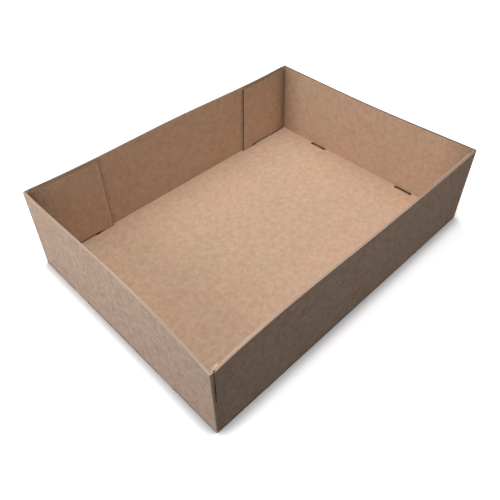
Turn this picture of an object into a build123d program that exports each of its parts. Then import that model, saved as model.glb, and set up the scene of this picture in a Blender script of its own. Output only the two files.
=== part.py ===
"""Open tray box, die cut from one sheet of kraft corrugated board, folded and glued.

One blank makes the whole tray, so it is one solid. The base is a rectangle. Four walls stand on its
folds. Each end of a short wall turns the corner, dives behind the cut end of the long wall and runs on
as a tab, glued flat to the inside of the long wall. A foot at the end of each tab stands in a slot of
the base, and each short fold has two open slots of its own.

X runs along the long walls and Y along the short ones. Z is up, and the origin is under the middle of
the base. Sizes are in millimetres.
"""
import os

from build123d import *

os.makedirs("parts", exist_ok=True)

# Outside of the tray and its board
length = 457.0
width = 331.0
height = 114.0
board = 2.8

# Folds along the base, and the straight strip of wall above them
fold_radius = 4.0
upright_foot = 7.0

# Turned corners: the short wall's board rounds the corner, shows for a short stretch and then dives
corner_radius = 1.8
corner_stub = 4.9
corner_recess = 0.4
dive_length = 6.2

# Glued tabs
tab_length = 100.0
tab_drop = 3.0
tab_clearance = 1.9
tab_foot_width = 20.0

# Slots punched in the base beside the folds. A long fold's slot is as wide as the foot that stands in it
slot_length = 29.0
slot_play = 0.5
short_slot_width = 5.0
short_slot_spacing = 163.6
long_slot_spacing = 282.5

# Slit that opens towards the rim between the turned corner and the cut end of the long wall
slit_width = 1.9
slit_foot_width = 0.9
slit_slant = 1.6
slit_depth = 1.4
slit_share = 0.46

# Pressed line that runs up at 45 degrees from each end of a long wall
score_width = 1.7
score_depth = 0.35

# How far each rim corner stands from the corner of the straight box, in X and Y
lean_front_left = (-3.8, -2.4)
lean_front_right = (-2.4, 1.0)
lean_back_right = (-2.4, 1.6)
lean_back_left = (2.8, 3.0)

# Inward bow of each rim at a quarter, a half and three quarters of it, going round anticlockwise
bow_front = (2.7, 0.7, -0.4)
bow_right = (3.2, 4.9, 2.9)
bow_back = (2.0, -0.6, 1.8)
bow_left = (1.4, 3.7, 3.7)

# Places worked out from those
half_length = length / 2
half_width = width / 2
tab_end = half_length - tab_length
tab_foot_end = tab_end + tab_foot_width
dive_start = half_length - board - dive_length
long_slot_width = board + slot_play
slit_height = height * slit_share
beyond = board

# The corners in anticlockwise order from the front left, as signs and leans
corners = [
    (Vector(-1, -1), Vector(*lean_front_left)),
    (Vector(1, -1), Vector(*lean_front_right)),
    (Vector(1, 1), Vector(*lean_back_right)),
    (Vector(-1, 1), Vector(*lean_back_left)),
]
bows = [bow_front, bow_right, bow_back, bow_left]


def wall_run(start, end, bow, share):
    """One wall's line seen from above: straight at its fold, and bowed inward at the rim."""
    if share == 0:
        Line(start, end)
    else:
        along = end - start
        inward = Vector(-along.Y, along.X).normalized()
        quarters = [start + along * (i + 1) / 4 + inward * share * bow[i] for i in range(3)]
        Spline(start, *quarters, end)


def outline(short_inset, long_inset, short_turn, long_turn, rounded, share):
    """Closed line along the four walls, anticlockwise from the front left, at this share of the lean.

    At a corner the line leaves the short wall short_turn before the meeting of the two inset faces,
    and joins the long wall long_turn after it, by an arc or a straight stretch.
    """
    turns = []
    for sign, lean in corners:
        x = sign.X * (half_length - short_inset) + share * lean.X
        y = sign.Y * (half_width - long_inset) + share * lean.Y
        on_short = Vector(x, y - sign.Y * short_turn)
        on_long = Vector(x - sign.X * long_turn, y)
        turns.append((on_long, on_short))
    for i, bow in enumerate(bows):
        is_short = i % 2
        here, there = turns[i], turns[(i + 1) % 4]
        wall_run(here[is_short], there[is_short], bow, share)
        if rounded:
            hub = Vector(there[0].X, there[1].Y)
            middle = hub + corners[(i + 1) % 4][0].normalized() * short_turn
            ThreePointArc(there[is_short], middle, there[1 - is_short])
        elif short_turn:
            Line(there[is_short], there[1 - is_short])


def block_within(bottom, short_inset, long_inset, short_turn=0.0, long_turn=0.0, rounded=False):
    """Solid inside the walls at these insets: upright near the folds, then leaning out to the rim."""
    with BuildPart() as block:
        for z, share in ((bottom, 0), (upright_foot, 0), (height, 1)):
            with BuildSketch(Plane.XY.offset(z)):
                with BuildLine():
                    outline(short_inset, long_inset, short_turn, long_turn, rounded, share)
                make_face()
        loft(ruled=True)
    return block.part


def box_between(low, high):
    """Box from its lowest to its highest corner, in the part that is being built."""
    with Locations(tuple((a + b) / 2 for a, b in zip(low, high))):
        Box(*(b - a for a, b in zip(low, high)))


def long_wall_skin(depth):
    """The outer skin of the two long walls, this deep."""
    with BuildPart() as skin:
        add(block_within(0, 0, 0))
        add(block_within(0, -beyond, depth), mode=Mode.SUBTRACT)
    return skin.part


def fold_outside(half):
    """Closed line round what a rounded fold leaves out of the square corner at this distance."""
    flank = half - fold_radius
    bend = Vector(1, -1).normalized() * fold_radius
    Polyline((half, fold_radius), (half + beyond, fold_radius), (half + beyond, -beyond), (flank, -beyond), (flank, 0))
    ThreePointArc((flank, 0), Vector(flank, fold_radius) + bend, (half, fold_radius))


# The room inside, out to the tabs, with the hollow that each dive leaves in its corner
room = block_within(board, board, 2 * board, corner_recess - board, dive_length)

# The room behind the tabs: between them, over their tops, and the clearance at their foot
with BuildPart() as behind_tabs:
    inner, outer = 0.9 * half_width, half_width + beyond
    box_between((-tab_end, inner, board), (tab_end, outer, height))
    box_between((-dive_start, inner, height - tab_drop), (dive_start, outer, height))
    box_between((tab_foot_end, inner, board), (dive_start, outer, board + tab_clearance))
    box_between((-dive_start, inner, board), (-tab_foot_end, outer, board + tab_clearance))
    mirror(about=Plane.XZ)
    add(block_within(board, board, board), mode=Mode.INTERSECT)

# The slots, less the feet that stand in the long ones
with BuildPart() as slots:
    with Locations((half_length - board - short_slot_width / 2, short_slot_spacing / 2)):
        Box(short_slot_width, slot_length, 2 * board)
    with Locations((long_slot_spacing / 2, half_width - board - long_slot_width / 2)):
        Box(slot_length, long_slot_width, 2 * board)
    with Locations((tab_end + tab_foot_width / 2, half_width - 1.5 * board)):
        Box(tab_foot_width, board, 2 * board, mode=Mode.SUBTRACT)
    mirror(about=Plane.YZ)
    mirror(about=Plane.XZ)

# Round outsides of the folds. They stop at the slots, where the board is cut square, and at the corners,
# where the cut foot of the turned board stands lower than they do
with BuildPart() as fold_rounds:
    for plane, half, run_end, spacing in (
        (Plane.YZ, half_width, half_length - corner_stub, long_slot_spacing),
        (Plane.XZ, half_length, half_width - corner_recess - board, short_slot_spacing),
    ):
        slot_start, slot_end = (spacing - slot_length) / 2, (spacing + slot_length) / 2
        for start, end in ((0, slot_start), (slot_end, run_end)):
            with BuildSketch(plane.offset(start)):
                with BuildLine():
                    fold_outside(half)
                make_face()
            extrude(amount=end - start)
    mirror(about=Plane.YZ)
    mirror(about=Plane.XZ)

# Slits at the corners, within the board of the long walls
with BuildPart() as slits:
    for sign, lean in corners:
        foot_z = height - slit_height
        foot_share = (foot_z - upright_foot) / (height - upright_foot)
        edge = sign.X * (half_length - corner_stub) + lean.X
        foot_edge = sign.X * (half_length - corner_stub + slit_slant) + foot_share * lean.X
        with BuildSketch(Plane.XZ):
            with BuildLine():
                Polyline(
                    (foot_edge, foot_z),
                    (edge, height),
                    (edge - sign.X * slit_width, height),
                    (foot_edge - sign.X * slit_foot_width, foot_z),
                    close=True,
                )
            make_face()
        extrude(amount=-sign.Y * (half_width + beyond))
    add(long_wall_skin(slit_depth), mode=Mode.INTERSECT)

# Pressed lines, from the foot of each end of a long wall up to its rim
with BuildPart() as scores:
    with BuildSketch(Plane.XZ) as score_strip:
        with Locations((half_length - board - height / 2, height / 2)):
            Rectangle(score_width, 2 * height, rotation=45)
    extrude(amount=half_width + beyond, both=True)
    mirror(about=Plane.YZ)
    add(long_wall_skin(score_depth), mode=Mode.INTERSECT)

# The tray: the folded short walls and their turned corners, the long walls between them, less all that
with BuildPart() as tray:
    add(block_within(0, 0, corner_recess, corner_radius, corner_radius, rounded=True))
    add(block_within(0, corner_stub, 0))
    add([room, behind_tabs.part, slots.part, fold_rounds.part, slits.part, scores.part], mode=Mode.SUBTRACT)

tray.part.label = "tray"
export_step(tray.part, "parts/tray.step")
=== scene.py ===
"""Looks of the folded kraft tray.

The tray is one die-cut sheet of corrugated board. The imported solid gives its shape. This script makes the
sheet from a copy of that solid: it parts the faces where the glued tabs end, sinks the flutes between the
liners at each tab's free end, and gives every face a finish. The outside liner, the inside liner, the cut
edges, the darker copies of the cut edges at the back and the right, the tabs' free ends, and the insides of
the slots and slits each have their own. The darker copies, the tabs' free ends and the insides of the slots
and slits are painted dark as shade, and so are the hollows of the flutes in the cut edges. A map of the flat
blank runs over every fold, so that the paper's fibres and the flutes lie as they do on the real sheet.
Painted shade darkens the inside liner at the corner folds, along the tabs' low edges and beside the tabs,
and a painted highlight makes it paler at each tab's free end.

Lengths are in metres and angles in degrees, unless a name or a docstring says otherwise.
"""
import logging
import math
from dataclasses import dataclass
from enum import Enum

import bmesh
import bpy
from mathutils import Matrix, Vector
from mathutils.bvhtree import BVHTree


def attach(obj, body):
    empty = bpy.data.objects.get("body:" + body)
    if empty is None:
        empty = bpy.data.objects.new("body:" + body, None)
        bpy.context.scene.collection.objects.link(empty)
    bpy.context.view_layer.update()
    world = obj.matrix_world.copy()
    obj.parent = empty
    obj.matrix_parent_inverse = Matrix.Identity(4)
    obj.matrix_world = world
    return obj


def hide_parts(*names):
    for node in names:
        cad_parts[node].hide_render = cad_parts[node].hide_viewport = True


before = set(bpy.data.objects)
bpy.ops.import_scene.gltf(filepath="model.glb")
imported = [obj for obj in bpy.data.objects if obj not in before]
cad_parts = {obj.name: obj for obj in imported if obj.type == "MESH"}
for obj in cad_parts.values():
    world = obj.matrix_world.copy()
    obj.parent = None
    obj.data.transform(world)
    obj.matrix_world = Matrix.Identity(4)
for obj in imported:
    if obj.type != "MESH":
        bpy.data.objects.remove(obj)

log = logging.getLogger("tray")

Colour = tuple[float, float, float, float]
Node = bpy.types.Node
Socket = bpy.types.NodeSocket
Tree = bpy.types.NodeTree

MM = 0.001
PER_MM = (1 / MM,) * 3
WHITE = (1.0, 1.0, 1.0, 1.0)

# One wave of the flutes inside the board
FLUTE_PITCH_MM = 6.4

# The two maps and the painted layer on the board's mesh
BLANK_MAP = "blank"
EDGE_MAP = "edge"
# The painted layer holds the folds' scuffs and painted highlight
SCUFF_AND_HIGHLIGHT_LAYER = "scuff_and_highlight"

# A Mix node's share and colour sockets go by number, because its other sockets have the same names
SHARE, UNDER, OVER = 0, 6, 7


def linear(colour: str) -> Colour:
    """Turns an sRGB hex colour to linear.

    Args:
        colour: Six hex digits, such as "C1A38C".

    Returns:
        Red, green, blue and an alpha of 1.
    """
    parts = [int(colour[i:i + 2], 16) / 255 for i in (0, 2, 4)]
    return (*[p / 12.92 if p <= 0.04045 else ((p + 0.055) / 1.055) ** 2.4 for p in parts], 1.0)


def add_node(tree: Tree, kind: str, inputs: dict | None = None, **settings: object) -> Node:
    """Adds one node with its settings, input values and links.

    Args:
        tree: The node tree that gets the node.
        kind: The node's type, without its "ShaderNode" start.
        inputs: What each input gets, by the input's name or number: a value to set, a socket to link, or
            a node, whose first output in use is linked.
        **settings: The node's own options.

    Returns:
        The new node.
    """
    made = tree.nodes.new("ShaderNode" + kind)
    for name, value in settings.items():
        setattr(made, name, value)
    for name, value in (inputs or {}).items():
        if isinstance(value, Node):
            value = next(socket for socket in value.outputs if socket.enabled)
        if isinstance(value, Socket):
            tree.links.new(value, made.inputs[name])
        else:
            made.inputs[name].default_value = value
    return made


def bare_material(name: str) -> tuple[bpy.types.Material, Tree]:
    """Makes a material with an empty node tree.

    Args:
        name: The material's name.

    Returns:
        The material and its node tree.
    """
    made = bpy.data.materials.new(name)
    made.use_nodes = True
    made.node_tree.nodes.clear()
    return made, made.node_tree


def matt_paper(tree: Tree, colour: Node, roughness: float, relief: Node) -> None:
    """Ends a material as paper with hardly any sheen.

    Args:
        tree: The material's node tree.
        colour: The node that gives the paper's colour.
        roughness: How dull the paper is.
        relief: The node that gives the surface its bumps.
    """
    shader = add_node(tree, "BsdfPrincipled", {
        "Base Color": colour, "Roughness": roughness, "Specular IOR Level": 0.02, "Normal": relief})
    add_node(tree, "OutputMaterial", {"Surface": shader})


def seen_directly(tree: Tree) -> Node:
    """Tells what the camera sees by itself, in a gloss or through a clear piece from all else.

    Args:
        tree: The node tree that gets the nodes.

    Returns:
        The node that gives 1 for what is seen so, and 0 for light that bounces.
    """
    path = add_node(tree, "LightPath")
    seen = path.outputs["Is Camera Ray"]
    for name in ("Is Glossy Ray", "Is Transmission Ray"):
        seen = add_node(tree, "Math", {0: seen, 1: path.outputs[name]}, operation="MAXIMUM")
    return seen


def deselect_all() -> None:
    """Leaves object mode with nothing selected."""
    if bpy.context.object and bpy.context.object.mode != "OBJECT":
        bpy.ops.object.mode_set(mode="OBJECT")
    bpy.ops.object.select_all(action="DESELECT")


def pick(piece: bpy.types.Object) -> None:
    """Selects one piece alone and makes it active.

    Args:
        piece: The piece to select.
    """
    deselect_all()
    bpy.context.view_layer.objects.active = piece
    piece.select_set(True)


class Side(Enum):
    """Which surface of the board a face belongs to. The value is its material slot."""

    OUTSIDE = 0
    INSIDE = 1
    CUT_ALONG = 2
    CUT_ACROSS = 3
    SLOT = 4
    GAP = 5
    # These two are the cut edges painted darker as shade, at the back and the right
    DULL_ALONG = 6
    DULL_ACROSS = 7
    TAB_END = 8

    @classmethod
    def cut(cls) -> tuple["Side", ...]:
        """Gives the sides that are cut edges."""
        return cls.CUT_ALONG, cls.CUT_ACROSS, cls.DULL_ALONG, cls.DULL_ACROSS, cls.TAB_END


@dataclass(frozen=True)
class Stripe:
    """A soft stripe of colour beside an edge or a fold, in millimetres.

    Its middle lies a little past the edge. It is full over the flat distance on both sides of its middle,
    and gone at its reach. Its share is how strongly it covers the colour below.
    """

    past: float
    flat: float
    reach: float
    share: float = 1.0

    def over(self, tree: Tree, value: Socket, start: float, *within: Node) -> Node:
        """Adds the stripe to a material.

        Args:
            tree: The material's node tree.
            value: The place across the stripe, in millimetres.
            start: Where the edge or fold is, counted the same way.
            *within: What the stripe keeps to, as nodes that give 1 there and 0 elsewhere.

        Returns:
            The node that gives the stripe's share of the colour.
        """
        off = add_node(tree, "Math", {0: value, 1: start + self.past}, operation="SUBTRACT")
        off = add_node(tree, "Math", {0: off}, operation="ABSOLUTE")
        shown = add_node(tree, "MapRange", {
            "Value": off, "From Min": self.flat, "From Max": self.reach, "To Min": self.share, "To Max": 0.0,
        }, interpolation_type="SMOOTHSTEP")
        for limit in within:
            shown = add_node(tree, "Math", {0: shown, 1: limit}, operation="MULTIPLY")
        return shown


@dataclass(frozen=True)
class PaintedShadeAndHighlight:
    """Shade and a highlight painted on the inside liner, in millimetres on the flat blank.

    The short walls' strips run on past the corners as the tabs. Painted shade darkens the liner at the corner
    folds, on the board that turns behind the long wall, along each tab's low edge where it stands clear of
    the base, and on the long walls beside each tab. A painted highlight makes the tab's free end paler.
    """

    half_length: float
    half_width: float
    tab_length: float
    tab_low_edge: float
    dark: str = "4A3220"
    pale: str = "D8C3AE"
    # Stripes of painted shade, the stretch where a tab's low edge stands clear of the base, and a painted
    # highlight at the tab's free end
    corner_shade: Stripe = Stripe(past=0, flat=3, reach=46, share=0.28)
    turned_board_shade: Stripe = Stripe(past=8, flat=5, reach=8, share=0.17)
    low_edge: Stripe = Stripe(past=0, flat=0.3, reach=3.0, share=0.45)
    clear_of_base: Stripe = Stripe(past=44.5, flat=33, reach=36)
    tab_end_highlight: Stripe = Stripe(past=0, flat=0.8, reach=3.8, share=0.27)
    beside_tab: Stripe = Stripe(past=0, flat=1, reach=9, share=0.10)
    tab_line: Stripe = Stripe(past=0, flat=1, reach=3, share=0.17)

    def over(self, tree: Tree, place: Node, colour: Node) -> Node:
        """Paints the shade and the highlight over the liner.

        Args:
            tree: The material's node tree.
            place: The node that gives the place on the blank.
            colour: The node that gives the liner's colour.

        Returns:
            The node that gives the liner's colour with the painted shade and highlight.
        """
        unsigned = add_node(tree, "VectorMath", {0: place}, operation="ABSOLUTE")
        parts = add_node(tree, "SeparateXYZ", {0: unsigned})
        across, along = parts.outputs["X"], parts.outputs["Y"]
        on_strip = add_node(tree, "Math", {0: across, 1: self.half_length}, operation="GREATER_THAN")
        off_strip = add_node(tree, "Math", {0: 1.0, 1: on_strip}, operation="SUBTRACT")
        off_base = add_node(tree, "Math", {0: along, 1: self.half_width}, operation="GREATER_THAN")
        corner, low_edge = self.half_width, self.half_length + self.tab_low_edge
        strip_end, tab_end = self.half_width + self.tab_length, self.half_length - self.tab_length
        clear = self.clear_of_base.over(tree, along, corner)
        # Each stripe paints shade in the dark tone, except the last, which paints a highlight in the pale
        # tone
        for mark, tone in (
            (self.low_edge.over(tree, across, low_edge, on_strip, clear), self.dark),
            (self.corner_shade.over(tree, along, corner, on_strip), self.dark),
            (self.turned_board_shade.over(tree, along, corner, on_strip), self.dark),
            (self.beside_tab.over(tree, across, tab_end, off_base, off_strip), self.dark),
            (self.tab_line.over(tree, across, tab_end, off_base, off_strip), self.dark),
            (self.tab_end_highlight.over(tree, along, strip_end, on_strip), self.pale),
        ):
            colour = add_node(tree, "Mix", {SHARE: mark, UNDER: colour, OVER: linear(tone)}, data_type="RGBA")
        return colour


@dataclass(frozen=True)
class KraftLiner:
    """Unbleached kraft linerboard: matt brown paper with cloudy formation and short fibres.

    The long fibres of its softwood pulp lie mostly along the paper machine's run, across the flutes. They
    give the eye fine streaks, a few dark flecks, and no gloss. Its folds are paler, in patches that follow
    the grain, partly from scuffing and partly as a painted highlight. Real fibres are about 0.04 mm thick,
    which is too fine to show, so the streaks are drawn ten times as wide. A spread is the part of a pattern
    that runs from one colour to the other.
    """

    name: str
    dark: str
    light: str
    seed: float
    # Painted shade and a painted highlight at the folds and tabs, on the inside liner only
    painted_shading: PaintedShadeAndHighlight | None = None
    tinge: str = "B8A48C"
    blush: str = "C9A38E"
    fleck: str = "705643"
    # Paler tone of the folds, partly scuffed and partly a painted highlight
    scuff_and_highlight: str = "D8C3AE"
    roughness: float = 0.9
    cloud_mm: float = 6.0
    cloud_share: float = 0.40
    grain_mm: float = 2.2
    grain_share: float = 0.45
    fibre_mm: float = 0.45
    fibre_share: float = 0.15
    fibre_stretch: float = 5.0
    tone_spread: tuple[float, float] = (0.37, 0.63)
    drift_mm: float = 66.0
    drift_spread: tuple[float, float] = (0.35, 0.65)
    drift_share: float = 0.22
    fleck_spacing_mm: float = 5.0
    fleck_mm: float = 0.34
    fleck_stretch: float = 2.5
    fleck_turn_radians: float = 0.4
    fleck_share: float = 0.7
    worn_and_lit_grain: tuple[float, float] = (0.3, 0.6)
    worn_and_lit_share: tuple[float, float] = (0.35, 0.8)
    ripple_mm: float = 0.010
    relief_mm: float = 0.12

    def build(self) -> bpy.types.Material:
        """Makes the liner's material.

        Returns:
            The material, which reads the blank's own map in metres.
        """
        made, tree = bare_material(self.name)
        blank = add_node(tree, "UVMap", uv_map=BLANK_MAP)
        place = add_node(tree, "VectorMath", {0: blank, 1: PER_MM, 2: (0, 0, self.seed)},
                         operation="MULTIPLY_ADD")
        along = add_node(tree, "Mapping", {"Vector": place, "Scale": (1 / self.fibre_stretch, 1, 1)})
        cloud = add_node(tree, "TexNoise", {
            "Vector": place, "Scale": 1 / self.cloud_mm, "Detail": 2, "Roughness": 0.5})
        grain = add_node(tree, "TexNoise", {
            "Vector": place, "Scale": 1 / self.grain_mm, "Detail": 3, "Roughness": 0.6})
        fibre = add_node(tree, "TexNoise", {
            "Vector": along, "Scale": 1 / self.fibre_mm, "Detail": 3, "Roughness": 0.6})
        whole = 0.0
        shares = (self.cloud_share, self.grain_share, self.fibre_share)
        for pattern, share in zip((cloud, grain, fibre), shares):
            whole = add_node(tree, "Math", {0: pattern, 1: share, 2: whole}, operation="MULTIPLY_ADD")
        tone = add_node(tree, "MapRange", {
            "Value": whole, "From Min": self.tone_spread[0], "From Max": self.tone_spread[1]})
        colour = add_node(tree, "Mix", {SHARE: tone, UNDER: linear(self.dark), OVER: linear(self.light)},
                          data_type="RGBA")
        # The drift and the flecks are the paper's own; the folds add scuffs and a painted highlight
        for share, over in (
            (self.drift_share, self.drift(tree, place)),
            (self.flecks(tree, place), linear(self.fleck)),
            (self.wear_and_highlight(tree, grain), linear(self.scuff_and_highlight)),
        ):
            colour = add_node(tree, "Mix", {SHARE: share, UNDER: colour, OVER: over}, data_type="RGBA")
        # Paints shade and a highlight at the folds and tabs
        if self.painted_shading:
            colour = self.painted_shading.over(tree, place, colour)
        relief = add_node(tree, "Bump", {
            "Height": whole, "Distance": self.relief_mm * MM, "Strength": 0.6,
            "Normal": self.washboard(tree, place)})
        matt_paper(tree, colour, self.roughness, relief)
        return made

    def drift(self, tree: Tree, place: Node) -> Node:
        """Lets the hue drift slowly over the sheet.

        Args:
            tree: The material's node tree.
            place: The node that gives the place on the blank, in millimetres.

        Returns:
            The node that gives the drifting colour.
        """
        slow = add_node(tree, "TexNoise", {
            "Vector": place, "Scale": 1 / self.drift_mm, "Detail": 1, "Roughness": 0.5})
        hue = add_node(tree, "MapRange", {
            "Value": slow, "From Min": self.drift_spread[0], "From Max": self.drift_spread[1]})
        return add_node(tree, "Mix", {SHARE: hue, UNDER: linear(self.tinge), OVER: linear(self.blush)},
                        data_type="RGBA")

    def flecks(self, tree: Tree, place: Node) -> Node:
        """Scatters short dark flecks over the sheet.

        Args:
            tree: The material's node tree.
            place: The node that gives the place on the blank, in millimetres.

        Returns:
            The node that gives the flecks' share of the colour.
        """
        turned = add_node(tree, "Mapping", {
            "Vector": place, "Rotation": (0, 0, self.fleck_turn_radians),
            "Scale": (1 / self.fleck_stretch, 1, 1)})
        speck = add_node(tree, "TexVoronoi", {"Vector": turned, "Scale": 1 / self.fleck_spacing_mm})
        return add_node(tree, "MapRange", {
            "Value": speck.outputs["Distance"], "From Min": 0.0,
            "From Max": self.fleck_mm / self.fleck_spacing_mm, "To Min": self.fleck_share, "To Max": 0.0})

    def wear_and_highlight(self, tree: Tree, grain: Node) -> Node:
        """Breaks up the folds' scuffs and painted highlight with the paper's grain.

        Args:
            tree: The material's node tree.
            grain: The node that gives the grain.

        Returns:
            The node that gives the share of the scuffs and the painted highlight in the colour.
        """
        worn_and_lit = add_node(tree, "Attribute", attribute_name=SCUFF_AND_HIGHLIGHT_LAYER)
        patchy = add_node(tree, "MapRange", {
            "Value": grain, "From Min": self.worn_and_lit_grain[0], "From Max": self.worn_and_lit_grain[1],
            "To Min": self.worn_and_lit_share[0], "To Max": self.worn_and_lit_share[1]})
        return add_node(tree, "Math", {0: worn_and_lit.outputs["Fac"], 1: patchy}, operation="MULTIPLY")

    def washboard(self, tree: Tree, place: Node) -> Node:
        """Raises the liner faintly over each flute.

        Args:
            tree: The material's node tree.
            place: The node that gives the place on the blank, in millimetres.

        Returns:
            The node that gives the ripples.
        """
        across = add_node(tree, "SeparateXYZ", {0: place})
        turns = add_node(tree, "Math", {0: across.outputs["X"], 1: 2 * math.pi / FLUTE_PITCH_MM},
                         operation="MULTIPLY")
        ripple = add_node(tree, "Math", {0: turns}, operation="SINE")
        return add_node(tree, "Bump", {"Height": ripple, "Distance": self.ripple_mm * MM, "Strength": 1.0})


@dataclass(frozen=True)
class CutBoard:
    """The edge that the cutting rule leaves: two pale torn liners with the crushed flutes between them.

    Cut across the flutes it shows a wave of paper with hollows on both sides. Cut along them it shows
    one ragged band. The hollows beside the medium are painted darker as shade. The edge has no gloss at all,
    and it darkens towards +X.

    Each share is a part of the board's thickness, except the tone's. The liner fades in between its two
    fades, counted in liner shares from the board's face. The medium fades out up to its own, counted in
    medium shares from its middle.
    """

    name: str
    across_flutes: bool
    liner: str
    medium: str
    hollow: str
    roughness: float = 0.95
    liner_share: float = 0.16
    liner_fades: tuple[float, float] = (1.4, 0.7)
    medium_share: float = 0.13
    medium_fades: float = 2.2
    openness: float = 0.6
    fray_mm: float = 0.7
    fray_share: float = 0.16
    crush_mm: float = 5.0
    crush_share: float = 0.6
    medium_relief_mm: float = 0.25
    fray_relief_mm: float = 0.15
    # Where along X the edge starts and ends darkening towards +X, and how dark it gets
    darker_from_x_mm: tuple[float, float] | None = None
    darker_tone: str = "4E3A2C"
    darker_tone_share: float = 0.30

    def build(self) -> bpy.types.Material:
        """Makes the cut edge's material.

        Returns:
            The material, which reads the edge's own map: metres along it, and 0 to 1 through the board.
        """
        made, tree = bare_material(self.name)
        edge = add_node(tree, "UVMap", uv_map=EDGE_MAP)
        parts = add_node(tree, "SeparateXYZ", {0: edge})
        place = add_node(tree, "TexCoord").outputs["Object"]
        scaled = add_node(tree, "VectorMath", {0: place, 1: PER_MM}, operation="MULTIPLY")
        fray = add_node(tree, "TexNoise", {
            "Vector": scaled, "Scale": 1 / self.fray_mm, "Detail": 3, "Roughness": 0.7})
        shaky = add_node(tree, "Math", {0: fray, 1: self.fray_share, 2: parts.outputs["Y"]},
                         operation="MULTIPLY_ADD")
        through = add_node(tree, "Math", {0: shaky, 1: self.fray_share / 2}, operation="SUBTRACT")
        middle = add_node(tree, "Math", {0: through, 1: 0.5}, operation="SUBTRACT")
        if self.across_flutes:
            swing = self.wave(tree, parts.outputs["X"], middle)
        else:
            swing = self.crushed(tree, scaled, middle)
        off_wave = add_node(tree, "Math", {0: swing}, operation="ABSOLUTE")
        paper = add_node(tree, "MapRange", {
            "Value": off_wave, "From Min": self.medium_share,
            "From Max": self.medium_fades * self.medium_share, "To Min": 1.0, "To Max": 1 - self.openness})
        # The hollows are painted darker as shade
        inner = add_node(tree, "Mix", {SHARE: paper, UNDER: linear(self.hollow), OVER: linear(self.medium)},
                         data_type="RGBA")
        from_middle = add_node(tree, "Math", {0: middle}, operation="ABSOLUTE")
        skin = add_node(tree, "MapRange", {
            "Value": from_middle, "From Min": 0.5 - self.liner_fades[0] * self.liner_share,
            "From Max": 0.5 - self.liner_fades[1] * self.liner_share})
        colour = add_node(tree, "Mix", {SHARE: skin, UNDER: inner, OVER: linear(self.liner)},
                          data_type="RGBA")
        # Darkens the edge towards +X
        if self.darker_from_x_mm:
            colour = self.darken_towards_x(tree, scaled, colour)
        relief = add_node(tree, "Bump", {
            "Height": paper, "Distance": self.medium_relief_mm * MM, "Strength": 0.5})
        relief = add_node(tree, "Bump", {
            "Height": fray, "Distance": self.fray_relief_mm * MM, "Strength": 0.6, "Normal": relief})
        matt_paper(tree, colour, self.roughness, relief)
        return made

    def wave(self, tree: Tree, along: Socket, middle: Node) -> Node:
        """Swings the medium from liner to liner as a wave, as a cut across the flutes shows it.

        Args:
            tree: The material's node tree.
            along: Metres along the edge.
            middle: The node that gives the place through the board, from its middle.

        Returns:
            The node that gives how far a place is from the wave.
        """
        turns = add_node(tree, "Math", {0: along, 1: 2 * math.pi / (FLUTE_PITCH_MM * MM)},
                         operation="MULTIPLY")
        wave = add_node(tree, "Math", {0: turns}, operation="SINE")
        return add_node(tree, "Math", {0: wave, 1: 0.5 - self.liner_share, 2: middle},
                        operation="MULTIPLY_ADD")

    def crushed(self, tree: Tree, scaled: Node, middle: Node) -> Node:
        """Lets the medium wander between the liners, as a cut along the flutes shows it.

        Args:
            tree: The material's node tree.
            scaled: The node that gives the place, in millimetres.
            middle: The node that gives the place through the board, from its middle.

        Returns:
            The node that gives how far a place is from the crushed medium.
        """
        crush = add_node(tree, "TexNoise", {
            "Vector": scaled, "Scale": 1 / self.crush_mm, "Detail": 1, "Roughness": 0.5})
        swing = add_node(tree, "Math", {0: crush, 1: self.crush_share, 2: middle}, operation="MULTIPLY_ADD")
        return add_node(tree, "Math", {0: swing, 1: self.crush_share / 2}, operation="SUBTRACT")

    def darken_towards_x(self, tree: Tree, scaled: Node, colour: Node) -> Node:
        """Darkens the edge towards +X.

        Args:
            tree: The material's node tree.
            scaled: The node that gives the place, in millimetres.
            colour: The node that gives the edge's colour.

        Returns:
            The node that gives the darkened colour.
        """
        spot = add_node(tree, "SeparateXYZ", {0: scaled})
        start, full = self.darker_from_x_mm
        darker_share = add_node(tree, "MapRange", {
            "Value": spot.outputs["X"], "From Min": start, "From Max": full, "To Min": 0.0,
            "To Max": self.darker_tone_share}, interpolation_type="SMOOTHSTEP")
        return add_node(tree, "Mix", {SHARE: darker_share, UNDER: colour, OVER: linear(self.darker_tone)},
                        data_type="RGBA")


@dataclass(frozen=True)
class GapBoard:
    """Board inside a slot or slit, painted dark as shade, because hardly any light comes in.

    The board turns paler near the rim, at the top of a slit.
    """

    name: str
    dark: str
    light: str
    rim_mm: float
    rim_tone: str = "B89E87"
    paler_at_rim: Stripe = Stripe(past=0, flat=2.0, reach=5.0, share=0.9)
    fray_mm: float = 0.8
    relief_mm: float = 0.1
    roughness: float = 1.0

    def build(self) -> bpy.types.Material:
        """Makes the gap's material.

        Returns:
            The material, which reads Object coordinates.
        """
        made, tree = bare_material(self.name)
        place = add_node(tree, "TexCoord").outputs["Object"]
        scaled = add_node(tree, "VectorMath", {0: place, 1: PER_MM}, operation="MULTIPLY")
        fray = add_node(tree, "TexNoise", {
            "Vector": scaled, "Scale": 1 / self.fray_mm, "Detail": 3, "Roughness": 0.7})
        relief = add_node(tree, "Bump", {"Height": fray, "Distance": self.relief_mm * MM, "Strength": 0.5})
        colour = add_node(tree, "Mix", {SHARE: fray, UNDER: linear(self.dark), OVER: linear(self.light)},
                          data_type="RGBA")
        height = add_node(tree, "SeparateXYZ", {0: scaled}).outputs["Z"]
        paler_share = self.paler_at_rim.over(tree, height, self.rim_mm)
        colour = add_node(tree, "Mix", {SHARE: paler_share, UNDER: colour, OVER: linear(self.rim_tone)},
                          data_type="RGBA")
        matt_paper(tree, colour, self.roughness, relief)
        return made


Finish = KraftLiner | CutBoard | GapBoard


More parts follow.
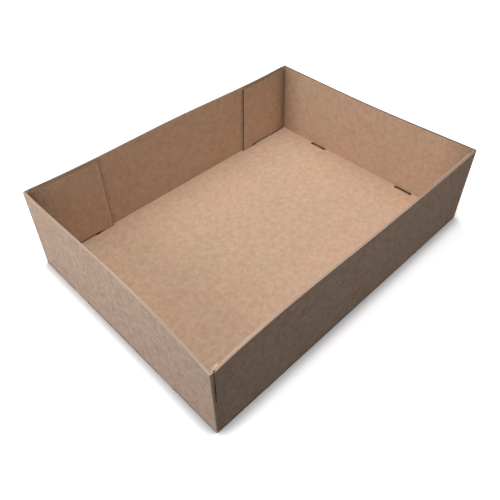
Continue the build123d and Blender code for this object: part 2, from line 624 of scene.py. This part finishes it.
@dataclass
class Sheet:
    """The folded sheet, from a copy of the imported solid.

    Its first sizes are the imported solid's own. The rest tell its faces apart, and shape the tabs' ends.
    """

    length: float = 457 * MM
    width: float = 331 * MM
    height: float = 114 * MM
    board: float = 2.8 * MM
    corner_stub: float = 4.9 * MM
    tab_length: float = 100 * MM
    tab_drop: float = 3 * MM
    tab_clearance: float = 1.9 * MM
    tab_foot: float = 20 * MM

    # What the scene cuts at the tabs' free ends
    liner_thickness: float = 0.45 * MM
    flute_setback: float = 1.5 * MM

    # Where a slit's faces are: above its foot, short along X, near the long wall's outside and a little in
    # from the corner. Its two sides may stand nearer to the corner than its floor does
    slit_foot: float = 55 * MM
    slit_run: float = 6 * MM
    slit_inset: float = 3.5 * MM
    slit_side_from: float = 2.5 * MM
    slit_floor_from: float = 3.8 * MM
    slit_to: float = 8 * MM

    # How near a place has to be to count as there. The rim's reach takes in the lean of the long walls
    merge_within: float = 0.001 * MM
    cut_within: float = 0.01 * MM
    play: float = 0.1 * MM
    rim_play: float = 1 * MM
    rim_reach: float = 6.1 * MM
    score_reach: float = 1.6 * MM

    # How much of a normal lies along the axis that its face looks along squarely, mostly or hardly at all
    squarely: float = 0.7
    mostly: float = 0.5
    hardly: float = 0.3

    # A face as flat as the first has no scuff and no painted highlight. A corner that looks down by more than
    # the second is on a fold of the base, which gets less of both
    dead_flat: float = 0.995
    rounding_down: float = 0.1
    base_fold_scuff_and_highlight: float = 0.6

    # Angles up to which faces are joined, and shaded as one
    flat_within: float = 0.3
    smooth_within: float = 35.0

    def __post_init__(self) -> None:
        """Works out the places that the faces are told apart by."""
        self.half_length = self.length / 2
        self.half_width = self.width / 2
        self.above_base = 2 * self.board
        self.tab_end = self.half_length - self.tab_length
        self.tab_foot_end = self.tab_end + self.tab_foot
        self.tab_top = self.height - self.tab_drop
        self.tab_low_edge = self.board + self.tab_clearance
        self.leans: dict[tuple[bool, bool], float] = {}

    def finishes(self) -> dict[Side, Finish]:
        """Names the finish of each side of the board.

        Returns:
            The finish of each side.
        """
        rim_mm = self.height / MM
        # Painted shade at the folds and tabs, and a painted highlight at each tab's free end, for the inside
        # liner
        painted_shading = PaintedShadeAndHighlight(
            half_length=self.half_length / MM, half_width=self.half_width / MM,
            tab_length=self.tab_length / MM, tab_low_edge=self.tab_low_edge / MM)
        # Darker copies of the cut edges, painted as shade on the back and right rims, the back tabs' tops and
        # the wall just above them
        shaded_copy = {"liner": "86705D", "medium": "6E5A4A", "hollow": "4E3E32"}
        return {
            Side.OUTSIDE: KraftLiner("kraft_liner_outside", "A98D79", "CFB6A3", seed=3.0),
            Side.INSIDE: KraftLiner("kraft_liner_inside", "B29379", "CCAF97", seed=57.0, painted_shading=painted_shading),
            Side.CUT_ALONG: CutBoard(
                "cut_along_flutes", across_flutes=False, liner="B59E8D", medium="AB9582", hollow="9A8470"),
            Side.CUT_ACROSS: CutBoard(
                "cut_across_flutes", across_flutes=True, liner="C2A995", medium="B09885", hollow="967E6A",
                darker_from_x_mm=(60.0, 130.0)),
            # The insides of the slots and slits are painted dark as shade
            Side.SLOT: GapBoard("slot_in_base", "6A4426", "8C623C", rim_mm),
            Side.GAP: GapBoard("slit_at_corner", "4A3426", "66493A", rim_mm),
            Side.DULL_ALONG: CutBoard("shaded_cut_along_flutes", across_flutes=False, **shaded_copy),
            Side.DULL_ACROSS: CutBoard("shaded_cut_across_flutes", across_flutes=True, **shaded_copy),
            # The tab's free end is the cut edge painted darker throughout, liners too, as shade
            Side.TAB_END: CutBoard(
                "tab_end", across_flutes=True, liner="8E6C50", medium="75543A", hollow="452F1E"),
        }

    def copy(self) -> bpy.types.Object:
        """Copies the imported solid's mesh, welds its triangles and parts them where the tabs end.

        Returns:
            The new object, at the origin.
        """
        deselect_all()
        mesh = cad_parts["tray"].data.copy()
        mesh.name = "folded_board"
        board = bpy.data.objects.new(mesh.name, mesh)
        bpy.context.scene.collection.objects.link(board)
        pick(board)
        bpy.ops.object.mode_set(mode="EDIT")
        bpy.ops.mesh.select_all(action="SELECT")
        bpy.ops.mesh.remove_doubles(threshold=self.merge_within)
        for place in (-self.tab_end, self.tab_end):
            bpy.ops.mesh.select_all(action="SELECT")
            bpy.ops.mesh.bisect(plane_co=(place, 0, 0), plane_no=(1, 0, 0), threshold=self.cut_within)
        bpy.ops.object.mode_set(mode="OBJECT")
        return board

    def side_of(self, face: bmesh.types.BMFace) -> Side:
        """Says which surface of the board a face belongs to.

        Args:
            face: A face of the folded board.

        Returns:
            A liner, a cut edge, or the inside of a narrow gap.
        """
        at, normal = face.calc_center_median(), face.normal
        lowest, highest = self.heights(face)
        from_end, from_side = self.half_length - abs(at.x), self.half_width - abs(at.y)
        if normal.z > self.squarely:
            return self.upper_side(at)
        if normal.z < -self.squarely:
            return Side.CUT_ALONG if at.z > self.board else Side.OUTSIDE
        if self.in_slit(face):
            return Side.GAP
        in_base = at.z < self.board - self.play and min(from_end, from_side) > self.board / 2
        if in_base and abs(normal.z) < self.hardly:
            return Side.SLOT
        if abs(normal.x) > self.squarely and abs(abs(at.x) - self.tab_end) < self.board:
            return Side.TAB_END
        if normal.y * at.y < 0 and abs(normal.y) > self.squarely:
            # At the back, the strip of wall above a tab's top gets the cut edge's copy painted darker as
            # shade
            if lowest > self.tab_top - self.play and abs(at.x) > self.tab_end:
                return Side.DULL_ALONG if at.y > 0 else Side.INSIDE
            # Below a tab's low edge, past its foot, the wall gets the slot's dark finish, as painted shade
            if highest < self.tab_low_edge + self.play and abs(at.x) > self.tab_foot_end:
                return Side.SLOT
        outward = sum(
            part * math.copysign(1, side) for part, side in ((normal.x, at.x), (normal.y, at.y))
            if abs(part) > self.mostly)
        return Side.OUTSIDE if outward > 0 or normal.z < -self.mostly else Side.INSIDE

    @staticmethod
    def heights(face: bmesh.types.BMFace) -> tuple[float, float]:
        """Gives the heights of a face's lowest and highest corner."""
        corners = [corner.co.z for corner in face.verts]
        return min(corners), max(corners)

    def upper_side(self, at: Vector) -> Side:
        """Says which surface a face that looks up belongs to.

        Args:
            at: The face's middle.

        Returns:
            The base's inside, a slit's foot, a tab's top or the rim.
        """
        if at.z < self.above_base:
            return Side.INSIDE
        if at.z < self.tab_top - self.tab_drop:
            return Side.GAP
        # At the back and the right, the tab tops and the rims get the cut edges' copies painted darker as
        # shade
        if at.z < self.tab_top + self.tab_drop / 2:
            return Side.DULL_ALONG if at.y > 0 else Side.CUT_ALONG
        if self.half_width - abs(at.y) < self.rim_reach and self.half_length - abs(at.x) > self.corner_stub:
            return Side.DULL_ACROSS if at.y > 0 else Side.CUT_ACROSS
        return Side.DULL_ALONG if at.x > 0 else Side.CUT_ALONG

    def in_slit(self, face: bmesh.types.BMFace) -> bool:
        """Says whether a face is inside the slit at a corner.

        Args:
            face: A face that looks neither up nor down.

        Returns:
            True for the slit's floor and its two sides.
        """
        at = face.calc_center_median()
        across = [corner.co.x for corner in face.verts]
        if self.heights(face)[0] < self.slit_foot or max(across) - min(across) > self.slit_run:
            return False
        lean = self.leans[at.x > 0, at.y > 0] * max(0.0, at.z / self.height)
        start = self.slit_side_from if abs(face.normal.x) > self.mostly else self.slit_floor_from
        from_end, from_side = self.half_length - abs(at.x) + lean, self.half_width - abs(at.y)
        return from_side < self.slit_inset and start < from_end < self.slit_to

    def blank_place(self, face: bmesh.types.BMFace, at: Vector) -> tuple[float, float]:
        """Finds where a point of the folded board lies on the flat blank.

        Args:
            face: The face that the point belongs to.
            at: The point.

        Returns:
            The place across the flutes and along them, from the middle of the base.
        """
        centre, normal = face.calc_center_median(), face.normal
        side_x, side_y = math.copysign(1, centre.x), math.copysign(1, centre.y)
        if abs(normal.z) > self.squarely and centre.z < self.above_base:
            return at.x, at.y
        if abs(normal.y) > self.squarely and normal.y * side_y < 0 and abs(centre.x) > self.tab_end:
            past_corner = self.half_length - side_x * at.x
            return side_x * (self.half_length + at.z), side_y * (self.half_width + past_corner)
        if self.half_width - abs(centre.y) < self.half_length - abs(centre.x):
            return at.x, side_y * (self.half_width + at.z)
        return side_x * (self.half_length + at.z), at.y

    def edge_place(self, face: bmesh.types.BMFace, at: Vector, outside: BVHTree) -> tuple[float, float]:
        """Finds where a corner of a cut face lies on the board's edge.

        Args:
            face: The cut face.
            at: The corner's place.
            outside: The faces of the outside liner.

        Returns:
            Metres along the edge, and 0 at the outside liner to 1 at the inside one.
        """
        centre = face.calc_center_median()
        layers = outside.find_nearest(at)[3] / self.board
        below_rim = self.heights(face)[1] < self.height - self.rim_play
        if below_rim or abs(face.normal.x) > self.squarely:
            layers -= 1.0
        if abs(face.normal.z) < self.squarely:
            return at.z, layers
        on_short = self.half_width - abs(centre.y) > self.half_length - abs(centre.x)
        return (at.y if on_short else at.x), layers

    def scuffing_and_highlight(self, face: bmesh.types.BMFace, corner: bmesh.types.BMVert) -> float:
        """Says how far a fold or a pressed line is scuffed and given a painted highlight at one corner of a
        face.

        Args:
            face: A face of the outside liner.
            corner: One of its corners.

        Returns:
            0 on flat faces, and up to 1 halfway round a fold and in a pressed line.
        """
        score_at = self.half_length - self.board
        if all(abs(abs(v.co.x) + v.co.z - score_at) < self.score_reach for v in face.verts):
            return 1.0
        if max(abs(part) for part in face.normal) > self.dead_flat:
            return 0.0

        # Twice the product of two parts of a normal is 1 where they are equal, halfway round the fold
        across, along, down = (abs(part) for part in corner.normal)
        if down > self.rounding_down:
            return self.base_fold_scuff_and_highlight * min(1.0, 2 * down * max(across, along))
        return min(1.0, 2 * across * across)

    def measure_leans(self, work: bmesh.types.BMesh) -> None:
        """Notes how far each rim corner stands out along X from the straight box.

        Args:
            work: The folded board.
        """
        for corner in work.verts:
            if corner.co.z > self.height - self.play:
                place = corner.co.x > 0, corner.co.y > 0
                self.leans[place] = max(self.leans.get(place, -1.0), abs(corner.co.x) - self.half_length)

    def dress(self, board: bpy.types.Object) -> None:
        """Maps the blank over the board and gives each face its finish.

        Args:
            board: The folded board, as welded triangles.
        """
        mesh = board.data
        while mesh.uv_layers:
            mesh.uv_layers.remove(mesh.uv_layers[0])
        mesh.materials.clear()
        finishes = self.finishes()
        for side in Side:
            mesh.materials.append(finishes[side].build())
        work = bmesh.new()
        work.from_mesh(mesh)
        blank = work.loops.layers.uv.new(BLANK_MAP)
        edge = work.loops.layers.uv.new(EDGE_MAP)
        scuff_and_highlight = work.loops.layers.float_color.new(SCUFF_AND_HIGHLIGHT_LAYER)
        work.normal_update()
        work.verts.index_update()
        self.measure_leans(work)
        sides = [self.side_of(face) for face in work.faces]
        outside = BVHTree.FromPolygons(
            [v.co.copy() for v in work.verts],
            [[v.index for v in face.verts] for face, side in zip(work.faces, sides) if side is Side.OUTSIDE])
        for face, side in zip(work.faces, sides):
            face.material_index = side.value
            for corner in face.loops:
                corner[blank].uv = self.blank_place(face, corner.vert.co)
                if side in Side.cut():
                    corner[edge].uv = self.edge_place(face, corner.vert.co, outside)
                # The outside folds get scuffs and a painted highlight
                amount = self.scuffing_and_highlight(face, corner.vert) if side is Side.OUTSIDE else 0.0
                corner[scuff_and_highlight] = (amount, amount, amount, 1)
        work.to_mesh(mesh)
        work.free()

    def make_whole(self, board: bpy.types.Object) -> None:
        """Joins each flat face's triangles, and keeps the borders of finishes and maps.

        Args:
            board: The folded board, with its finishes and maps.
        """
        pick(board)
        bpy.ops.object.mode_set(mode="EDIT")
        bpy.ops.mesh.select_all(action="SELECT")
        bpy.ops.mesh.dissolve_limited(angle_limit=math.radians(self.flat_within), delimit={"MATERIAL", "UV"})
        bpy.ops.object.mode_set(mode="OBJECT")

    def open_tab_ends(self, board: bpy.types.Object) -> None:
        """Sinks the flutes a little between the two liners at the free end of each tab.

        Args:
            board: The folded board, with whole faces.
        """
        for side in (-1, 1):
            pick(board)
            bpy.ops.object.mode_set(mode="EDIT")
            bpy.ops.mesh.select_mode(type="FACE")
            bpy.ops.mesh.select_all(action="DESELECT")
            bpy.ops.object.mode_set(mode="OBJECT")
            for face in board.data.polygons:
                face.select = face.material_index == Side.TAB_END.value \
                    and face.normal.x * side < -self.squarely and face.center.z > self.board
            bpy.ops.object.mode_set(mode="EDIT")
            bpy.ops.mesh.inset(thickness=self.liner_thickness, depth=0)
            bpy.ops.mesh.extrude_region_move(
                TRANSFORM_OT_translate={"value": (side * self.flute_setback, 0, 0)})
            bpy.ops.object.mode_set(mode="OBJECT")

    def part_shading(self, board: bpy.types.Object) -> None:
        """Marks every border between two finishes as sharp, so that no shading runs over a cut edge.

        Args:
            board: The folded board, shaded smooth by angle.
        """
        mesh = board.data
        finishes = {}
        for face in mesh.polygons:
            for edge in face.edge_keys:
                finishes.setdefault(edge, set()).add(face.material_index)
        for edge in mesh.edges:
            if len(finishes[edge.key]) > 1:
                edge.use_edge_sharp = True

    def build(self) -> bpy.types.Object:
        """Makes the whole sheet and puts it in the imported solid's place.

        Returns:
            The finished piece.
        """
        board = self.copy()
        self.dress(board)
        self.make_whole(board)
        self.open_tab_ends(board)
        pick(board)
        bpy.ops.object.shade_smooth_by_angle(angle=math.radians(self.smooth_within))
        self.part_shading(board)
        even = board.modifiers.new("even_faces", "WEIGHTED_NORMAL")
        even.keep_sharp = True
        even.weight = 100
        bpy.ops.object.modifier_apply(modifier=even.name)
        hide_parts("tray")
        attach(board, "root")
        return board


@dataclass(frozen=True)
class Lamp:
    """A soft square lamp that looks at the tray, placed anticlockwise from +X and up from the floor."""

    name: str
    azimuth: float
    elevation: float
    size: float
    power: float
    colour: str = "FFFFFF"
    distance: float = 1.6

    def hang(self) -> None:
        """Puts the lamp in its place."""
        turn, tilt = math.radians(self.azimuth), math.radians(self.elevation)
        out = Vector((math.cos(turn) * math.cos(tilt), math.sin(turn) * math.cos(tilt), math.sin(tilt)))
        deselect_all()
        bpy.ops.object.light_add(type="AREA", location=out * self.distance)
        lamp = bpy.context.object
        lamp.name = self.name
        lamp.rotation_mode = "QUATERNION"
        lamp.rotation_quaternion = out.to_track_quat("Z", "Y")
        lamp.data.shape = "SQUARE"
        lamp.data.size = self.size
        lamp.data.energy = self.power
        lamp.data.color = linear(self.colour)[:3]


@dataclass
class Studio:
    """Pale floor, white surroundings, soft lamps and the camera.

    The camera's sizes in pixels are in the photograph's frame. The floor is painted darker as a contact
    shadow where the tray closes off the air over it, and painted brown as shade below the tray, which shows
    through the slots.
    """

    image_px: int = 500
    focal_px: float = 527.7
    centre_px: tuple[float, float] = (244.8, 241.1)
    azimuth: float = -44.12
    elevation: float = 44.52
    roll: float = -0.54
    camera_at: tuple[float, float, float] = (-374.3 * MM, -357.8 * MM, 503.6 * MM)
    sensor_mm: float = 36.0
    floor_size: float = 8.0
    floor_gap: float = 0.2 * MM
    contact_reach: float = 20 * MM
    contact_samples: int = 16
    contact_air: tuple[float, float] = (0.5, 1.0)
    contact_tone: float = 0.44
    below_air: tuple[float, float] = (0.40, 0.52)
    below_tray: str = "77502F"
    floor_glow: float = 0.37
    glow_grows: tuple[float, float] = (0.33, 0.75)
    bounce: float = 0.12
    ambient: float = 0.0
    lamps: tuple[Lamp, ...] = (
        Lamp("high_front", 225, 75, 0.9, 14.2),
        Lamp("high_back", 45, 65, 0.5, 2.9, distance=0.8),
        Lamp("near_left", 158, 25, 0.6, 3.1, "F8FAFF", distance=0.9),
        Lamp("low_left", 180, 30, 0.9, 8.0, "F8FAFF"),
        Lamp("front_fill", 285, 18, 0.45, 0.5, distance=0.75),
    )

    def place_camera(self) -> None:
        """Puts the camera where the photograph was taken from."""
        turn, tilt, roll = (math.radians(a) for a in (self.azimuth, self.elevation, self.roll))
        back = Vector((math.sin(turn) * math.cos(tilt), -math.cos(turn) * math.cos(tilt), math.sin(tilt)))
        level = Vector((math.cos(turn), math.sin(turn), 0))
        upright = back.cross(level)
        right = math.cos(roll) * level + math.sin(roll) * upright
        up = math.cos(roll) * upright - math.sin(roll) * level
        facing = Matrix((right, up, back)).transposed().to_4x4()
        deselect_all()
        bpy.ops.object.camera_add()
        camera = bpy.context.object
        camera.matrix_world = Matrix.Translation(self.camera_at) @ facing
        camera.data.sensor_width = self.sensor_mm
        camera.data.lens = self.focal_px / self.image_px * self.sensor_mm
        camera.data.shift_x = (self.image_px / 2 - self.centre_px[0]) / self.image_px
        camera.data.shift_y = (self.centre_px[1] - self.image_px / 2) / self.image_px
        bpy.context.scene.camera = camera

    def lay_floor(self) -> None:
        """Lays a matt floor that shows white and keeps the tray's shadow."""
        deselect_all()
        bpy.ops.mesh.primitive_plane_add(size=self.floor_size, location=(0, 0, -self.floor_gap))
        floor = bpy.context.object
        floor.name = "floor"
        made, tree = bare_material("matt_white_floor")
        # Painted contact shadow: the floor darkens where ambient occlusion finds the tray close
        air = add_node(tree, "AmbientOcclusion", {"Distance": self.contact_reach},
                       samples=self.contact_samples).outputs["AO"]
        contact = add_node(tree, "MapRange", {
            "Value": air, "From Min": self.contact_air[0], "From Max": self.contact_air[1],
            "To Min": self.contact_tone, "To Max": 1.0}, interpolation_type="SMOOTHSTEP")
        # Below the tray, the floor is painted brown as shade
        open_air = add_node(tree, "MapRange", {
            "Value": air, "From Min": self.below_air[0], "From Max": self.below_air[1],
        }, interpolation_type="SMOOTHSTEP")
        tone = add_node(tree, "Mix", {SHARE: open_air, UNDER: linear(self.below_tray), OVER: contact},
                        data_type="RGBA")
        seen = add_node(tree, "BsdfDiffuse", {"Color": tone})
        place = add_node(tree, "TexCoord").outputs["Object"]
        away = add_node(tree, "VectorMath", {0: place}, operation="LENGTH").outputs["Value"]
        lift = add_node(tree, "MapRange", {
            "Value": away, "From Min": self.glow_grows[0], "From Max": self.glow_grows[1],
            "To Min": self.floor_glow, "To Max": 1.0}, interpolation_type="SMOOTHSTEP")
        strength = add_node(tree, "Math", {0: contact, 1: open_air}, operation="MULTIPLY")
        strength = add_node(tree, "Math", {0: strength, 1: lift}, operation="MULTIPLY")
        glow = add_node(tree, "Emission", {"Color": WHITE, "Strength": strength})
        bright = add_node(tree, "AddShader", {0: seen, 1: glow})
        unseen = add_node(tree, "BsdfDiffuse", {"Color": (self.bounce, self.bounce, self.bounce, 1)})
        mixed = add_node(tree, "MixShader", {0: seen_directly(tree), 1: unseen, 2: bright})
        add_node(tree, "OutputMaterial", {"Surface": mixed})
        floor.data.materials.append(made)

    def light(self) -> None:
        """Hangs the lamps and sets the white surroundings."""
        for lamp in self.lamps:
            lamp.hang()
        world = bpy.data.worlds.new("surroundings")
        bpy.context.scene.world = world
        world.use_nodes = True
        tree = world.node_tree
        tree.nodes.clear()
        dim = add_node(tree, "Background", {"Color": WHITE, "Strength": self.ambient})
        white = add_node(tree, "Background", {"Color": WHITE, "Strength": 1.0})
        mixed = add_node(tree, "MixShader", {0: seen_directly(tree), 1: dim, 2: white})
        add_node(tree, "OutputWorld", {"Surface": mixed})

    def build(self) -> None:
        """Sets up the whole studio."""
        self.place_camera()
        self.lay_floor()
        self.light()
        bpy.context.scene.view_settings.view_transform = "Standard"


def main() -> None:
    logging.basicConfig(level=logging.INFO, format="%(name)s: %(message)s")
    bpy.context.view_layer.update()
    board = Sheet().build()
    log.info("%s: %d faces", board.name, len(board.data.polygons))
    studio = Studio()
    studio.build()
    log.info("studio: %d lamps", len(studio.lamps))


if __name__ == "__main__":
    main()
